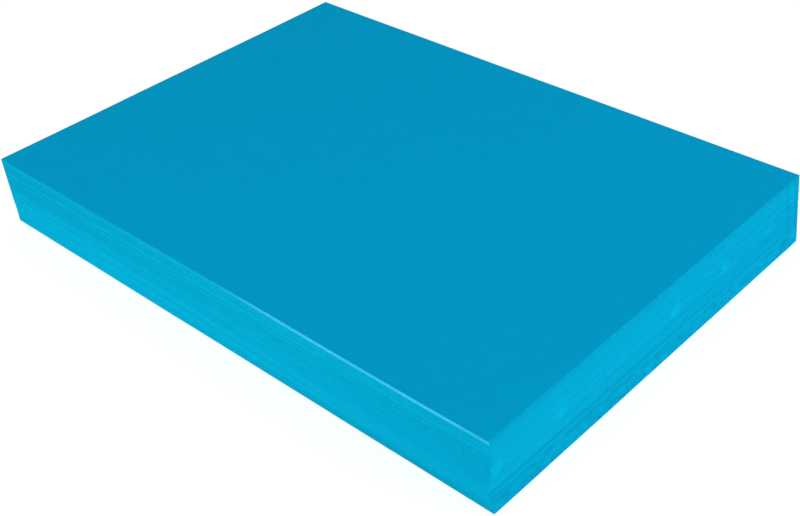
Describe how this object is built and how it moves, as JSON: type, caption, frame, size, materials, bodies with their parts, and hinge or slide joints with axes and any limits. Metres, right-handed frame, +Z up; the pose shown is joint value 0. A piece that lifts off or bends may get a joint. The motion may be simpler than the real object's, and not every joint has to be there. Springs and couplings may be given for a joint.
{
  "type": "paper ream",
  "caption": "Loose ream of bright turquoise-blue A3 paper: a square-cut stack of thin sheets that lift off one by one, in lifts or in handfuls.",
  "frame": {"origin": "middle of the underside of the stack, on the surface it lies on", "axes": "+X along the short side of the sheets, +Y along the long side, +Z up through the stack"},
  "size_m": [0.301, 0.4238, 0.048],
  "materials": {
    "sheet_face": "matte, dyed through, uncoated",
    "sheet_edges": "matte, dyed through, guillotined edges"
  },
  "bodies": {
    "bottom_handful": {"lift_43": "sheet_edges", "lift_44": "sheet_edges", "lift_45": "sheet_edges", "lift_46": "sheet_edges", "lift_47": "sheet_edges", "lift_48": "sheet_edges", "lift_49": "sheet_edges"},
    "handful_6": {"lift_37": "sheet_edges", "lift_38": "sheet_edges", "lift_39": "sheet_edges", "lift_40": "sheet_edges", "lift_41": "sheet_edges", "lift_42": "sheet_edges"},
    "handful_5": {"lift_31": "sheet_edges", "lift_32": "sheet_edges", "lift_33": "sheet_edges", "lift_34": "sheet_edges", "lift_35": "sheet_edges", "lift_36": "sheet_edges"},
    "handful_4": {"lift_24": "sheet_edges", "lift_25": "sheet_edges", "lift_26": "sheet_edges", "lift_27": "sheet_edges", "lift_28": "sheet_edges", "lift_29": "sheet_edges", "lift_30": "sheet_edges"},
    "handful_3": {"lift_19": "sheet_edges", "lift_20": "sheet_edges", "lift_21": "sheet_edges", "lift_22": "sheet_edges", "lift_23": "sheet_edges"},
    "handful_2": {"lift_14": "sheet_edges", "lift_15": "sheet_edges", "lift_16": "sheet_edges", "lift_17": "sheet_edges", "lift_18": "sheet_edges"},
    "handful_1": {"lift_10": "sheet_edges", "lift_11": "sheet_edges", "lift_12": "sheet_edges", "lift_13": "sheet_edges"},
    "lift_09": {"lift_09": "sheet_edges"},
    "lift_08": {"lift_08": "sheet_edges"},
    "lift_07": {"lift_07": "sheet_edges"},
    "lift_06": {"lift_06": "sheet_edges"},
    "lift_05": {"lift_05": "sheet_edges"},
    "lift_04": {"lift_04": "sheet_edges"},
    "lift_03": {"lift_03": "sheet_edges"},
    "lift_02": {"lift_02": "sheet_edges"},
    "lift_01": {"lift_01": "sheet_edges"},
    "sheet_10": {"sheet_10": "sheet_face"},
    "sheet_09": {"sheet_09": "sheet_face"},
    "sheet_08": {"sheet_08": "sheet_face"},
    "sheet_07": {"sheet_07": "sheet_face"},
    "sheet_06": {"sheet_06": "sheet_face"},
    "sheet_05": {"sheet_05": "sheet_face"},
    "sheet_04": {"sheet_04": "sheet_face"},
    "sheet_03": {"sheet_03": "sheet_face"},
    "sheet_02": {"sheet_02": "sheet_face"},
    "top_sheet": {"top_sheet": "sheet_face"}
  },
  "joints": [
    {"name": "handful_6_lifts_off", "type": "slide", "parent": "bottom_handful", "child": "handful_6", "axis": [0, 0, 1], "range_m": [0, 0.04]},
    {"name": "handful_5_lifts_off", "type": "slide", "parent": "handful_6", "child": "handful_5", "axis": [0, 0, 1], "range_m": [0, 0.04]},
    {"name": "handful_4_lifts_off", "type": "slide", "parent": "handful_5", "child": "handful_4", "axis": [0, 0, 1], "range_m": [0, 0.04]},
    {"name": "handful_3_lifts_off", "type": "slide", "parent": "handful_4", "child": "handful_3", "axis": [0, 0, 1], "range_m": [0, 0.04]},
    {"name": "handful_2_lifts_off", "type": "slide", "parent": "handful_3", "child": "handful_2", "axis": [0, 0, 1], "range_m": [0, 0.04]},
    {"name": "handful_1_lifts_off", "type": "slide", "parent": "handful_2", "child": "handful_1", "axis": [0, 0, 1], "range_m": [0, 0.04]},
    {"name": "lift_09_lifts_off", "type": "slide", "parent": "handful_1", "child": "lift_09", "axis": [0, 0, 1], "range_m": [0, 0.02]},
    {"name": "lift_08_lifts_off", "type": "slide", "parent": "lift_09", "child": "lift_08", "axis": [0, 0, 1], "range_m": [0, 0.02]},
    {"name": "lift_07_lifts_off", "type": "slide", "parent": "lift_08", "child": "lift_07", "axis": [0, 0, 1], "range_m": [0, 0.02]},
    {"name": "lift_06_lifts_off", "type": "slide", "parent": "lift_07", "child": "lift_06", "axis": [0, 0, 1], "range_m": [0, 0.02]},
    {"name": "lift_05_lifts_off", "type": "slide", "parent": "lift_06", "child": "lift_05", "axis": [0, 0, 1], "range_m": [0, 0.02]},
    {"name": "lift_04_lifts_off", "type": "slide", "parent": "lift_05", "child": "lift_04", "axis": [0, 0, 1], "range_m": [0, 0.02]},
    {"name": "lift_03_lifts_off", "type": "slide", "parent": "lift_04", "child": "lift_03", "axis": [0, 0, 1], "range_m": [0, 0.02]},
    {"name": "lift_02_lifts_off", "type": "slide", "parent": "lift_03", "child": "lift_02", "axis": [0, 0, 1], "range_m": [0, 0.02]},
    {"name": "lift_01_lifts_off", "type": "slide", "parent": "lift_02", "child": "lift_01", "axis": [0, 0, 1], "range_m": [0, 0.02]},
    {"name": "sheet_10_lifts_off", "type": "slide", "parent": "lift_01", "child": "sheet_10", "axis": [0, 0, 1], "range_m": [0, 0.015]},
    {"name": "sheet_09_lifts_off", "type": "slide", "parent": "sheet_10", "child": "sheet_09", "axis": [0, 0, 1], "range_m": [0, 0.015]},
    {"name": "sheet_08_lifts_off", "type": "slide", "parent": "sheet_09", "child": "sheet_08", "axis": [0, 0, 1], "range_m": [0, 0.015]},
    {"name": "sheet_07_lifts_off", "type": "slide", "parent": "sheet_08", "child": "sheet_07", "axis": [0, 0, 1], "range_m": [0, 0.015]},
    {"name": "sheet_06_lifts_off", "type": "slide", "parent": "sheet_07", "child": "sheet_06", "axis": [0, 0, 1], "range_m": [0, 0.015]},
    {"name": "sheet_05_lifts_off", "type": "slide", "parent": "sheet_06", "child": "sheet_05", "axis": [0, 0, 1], "range_m": [0, 0.015]},
    {"name": "sheet_04_lifts_off", "type": "slide", "parent": "sheet_05", "child": "sheet_04", "axis": [0, 0, 1], "range_m": [0, 0.015]},
    {"name": "sheet_03_lifts_off", "type": "slide", "parent": "sheet_04", "child": "sheet_03", "axis": [0, 0, 1], "range_m": [0, 0.015]},
    {"name": "sheet_02_lifts_off", "type": "slide", "parent": "sheet_03", "child": "sheet_02", "axis": [0, 0, 1], "range_m": [0, 0.015]},
    {"name": "top_sheet_lifts_off", "type": "slide", "parent": "sheet_02", "child": "top_sheet", "axis": [0, 0, 1], "range_m": [0, 0.015]}
  ]
}
